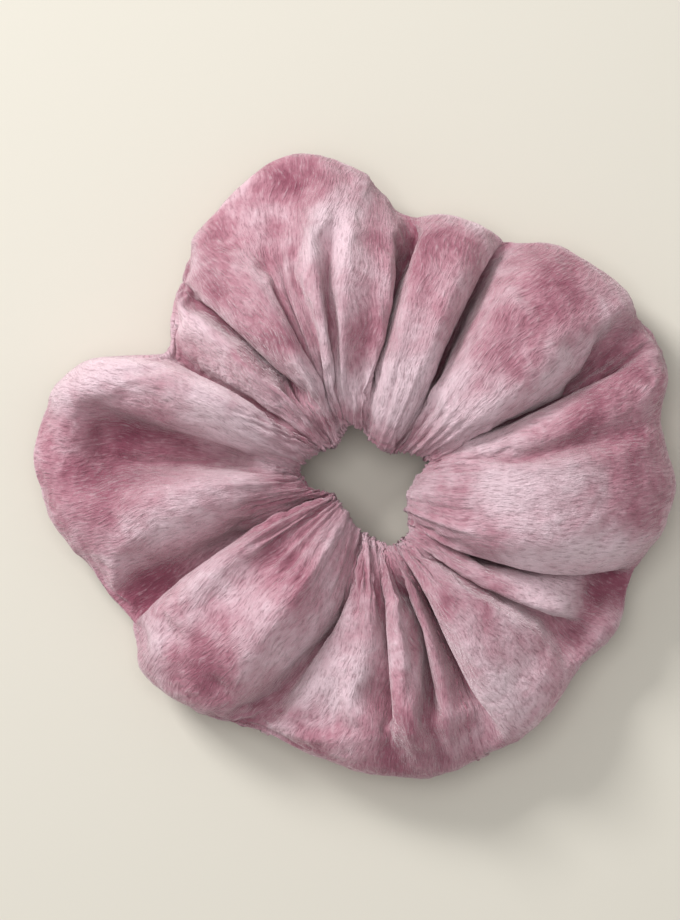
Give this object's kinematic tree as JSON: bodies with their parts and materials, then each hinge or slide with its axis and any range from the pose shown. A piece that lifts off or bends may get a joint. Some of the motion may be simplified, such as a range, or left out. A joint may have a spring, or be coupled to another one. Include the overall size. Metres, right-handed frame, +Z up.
{
  "type": "scrunchie",
  "caption": "Oversized plush velour scrunchie: a gathered fabric tube sewn closed over a flat elastic ring, which stretches open to hold a ponytail or bun",
  "frame": {"origin": "middle of the bounding box, on the surface that the scrunchie lies on", "axes": "+Z up through the hair opening, +X along the widest spread of the gathers, +Y along the other"},
  "size_m": [0.1496, 0.146, 0.036],
  "materials": {
    "plush_velour": "dusty rose crushed plush, short pile about 2 mm",
    "elastic": "braided elastic, off-white",
    "thread": "polyester sewing thread, dusty rose"
  },
  "bodies": {
    "gather_01": {"cover_gather_01": "plush_velour", "elastic_span_01": "elastic", "long_seam_thread_01": "thread", "elastic_lapped_end": "elastic", "elastic_bartack": "thread", "closing_seam_thread": "thread"},
    "gather_02": {"cover_gather_02": "plush_velour", "elastic_span_02": "elastic", "long_seam_thread_02": "thread"},
    "gather_03": {"cover_gather_03": "plush_velour", "elastic_span_03": "elastic", "long_seam_thread_03": "thread"},
    "gather_04": {"cover_gather_04": "plush_velour", "elastic_span_04": "elastic", "long_seam_thread_04": "thread"},
    "gather_05": {"cover_gather_05": "plush_velour", "elastic_span_05": "elastic", "long_seam_thread_05": "thread"},
    "gather_06": {"cover_gather_06": "plush_velour", "elastic_span_06": "elastic", "long_seam_thread_06": "thread"},
    "gather_07": {"cover_gather_07": "plush_velour", "elastic_span_07": "elastic", "long_seam_thread_07": "thread"},
    "gather_08": {"cover_gather_08": "plush_velour", "elastic_span_08": "elastic", "long_seam_thread_08": "thread"},
    "gather_09": {"cover_gather_09": "plush_velour", "elastic_span_09": "elastic", "long_seam_thread_09": "thread"},
    "gather_10": {"cover_gather_10": "plush_velour", "elastic_span_10": "elastic", "long_seam_thread_10": "thread"},
    "gather_11": {"cover_gather_11": "plush_velour", "elastic_span_11": "elastic", "long_seam_thread_11": "thread"},
    "gather_12": {"cover_gather_12": "plush_velour", "elastic_span_12": "elastic", "long_seam_thread_12": "thread"},
    "gather_13": {"cover_gather_13": "plush_velour", "elastic_span_13": "elastic", "long_seam_thread_13": "thread"}
  },
  "joints": [
    {"name": "stretch_01", "type": "slide", "parent": "gather_01", "child": "gather_02", "axis": [0.5592, 0.829, 0], "range_m": [0, 0.02104], "stiffness_N_per_m": 208},
    {"name": "stretch_02", "type": "slide", "parent": "gather_02", "child": "gather_03", "axis": [-0.0785, 0.9969, 0], "range_m": [0, 0.01039], "stiffness_N_per_m": 432},
    {"name": "stretch_03", "type": "slide", "parent": "gather_03", "child": "gather_04", "axis": [-0.4848, 0.8746, 0], "range_m": [0, 0.00998], "stiffness_N_per_m": 450},
    {"name": "stretch_04", "type": "slide", "parent": "gather_04", "child": "gather_05", "axis": [-0.8241, 0.5664, 0], "range_m": [0, 0.01202], "stiffness_N_per_m": 372},
    {"name": "stretch_05", "type": "slide", "parent": "gather_05", "child": "gather_06", "axis": [-0.9914, 0.1305, 0], "range_m": [0, 0.01039], "stiffness_N_per_m": 432},
    {"name": "stretch_06", "type": "slide", "parent": "gather_06", "child": "gather_07", "axis": [-0.9588, -0.284, 0], "range_m": [0, 0.00957], "stiffness_N_per_m": 470},
    {"name": "stretch_07", "type": "slide", "parent": "gather_07", "child": "gather_08", "axis": [-0.788, -0.6157, 0], "range_m": [0, 0.00834], "stiffness_N_per_m": 540},
    {"name": "stretch_08", "type": "slide", "parent": "gather_08", "child": "gather_09", "axis": [-0.5736, -0.8192, 0], "range_m": [0, 0.00585], "stiffness_N_per_m": 771},
    {"name": "stretch_09", "type": "slide", "parent": "gather_09", "child": "gather_10", "axis": [-0.225, -0.9744, 0], "range_m": [0, 0.01242], "stiffness_N_per_m": 360},
    {"name": "stretch_10", "type": "slide", "parent": "gather_10", "child": "gather_11", "axis": [0.3907, -0.9205, 0], "range_m": [0, 0.0172], "stiffness_N_per_m": 257},
    {"name": "stretch_11", "type": "slide", "parent": "gather_11", "child": "gather_12", "axis": [0.9367, -0.3502, 0], "range_m": [0, 0.02066], "stiffness_N_per_m": 212},
    {"name": "stretch_12", "type": "slide", "parent": "gather_12", "child": "gather_13", "axis": [0.9537, 0.3007, 0], "range_m": [0, 0.01039], "stiffness_N_per_m": 432}
  ],
  "couplings": [
    {"joint": "stretch_02", "follows": "stretch_01", "ratio": 0.49374},
    {"joint": "stretch_03", "follows": "stretch_01", "ratio": 0.47428},
    {"joint": "stretch_04", "follows": "stretch_01", "ratio": 0.57116},
    {"joint": "stretch_05", "follows": "stretch_01", "ratio": 0.49374},
    {"joint": "stretch_06", "follows": "stretch_01", "ratio": 0.45479},
    {"joint": "stretch_07", "follows": "stretch_01", "ratio": 0.39612},
    {"joint": "stretch_08", "follows": "stretch_01", "ratio": 0.27801},
    {"joint": "stretch_09", "follows": "stretch_01", "ratio": 0.59041},
    {"joint": "stretch_10", "follows": "stretch_01", "ratio": 0.8175},
    {"joint": "stretch_11", "follows": "stretch_01", "ratio": 0.98207},
    {"joint": "stretch_12", "follows": "stretch_01", "ratio": 0.49374}
  ]
}
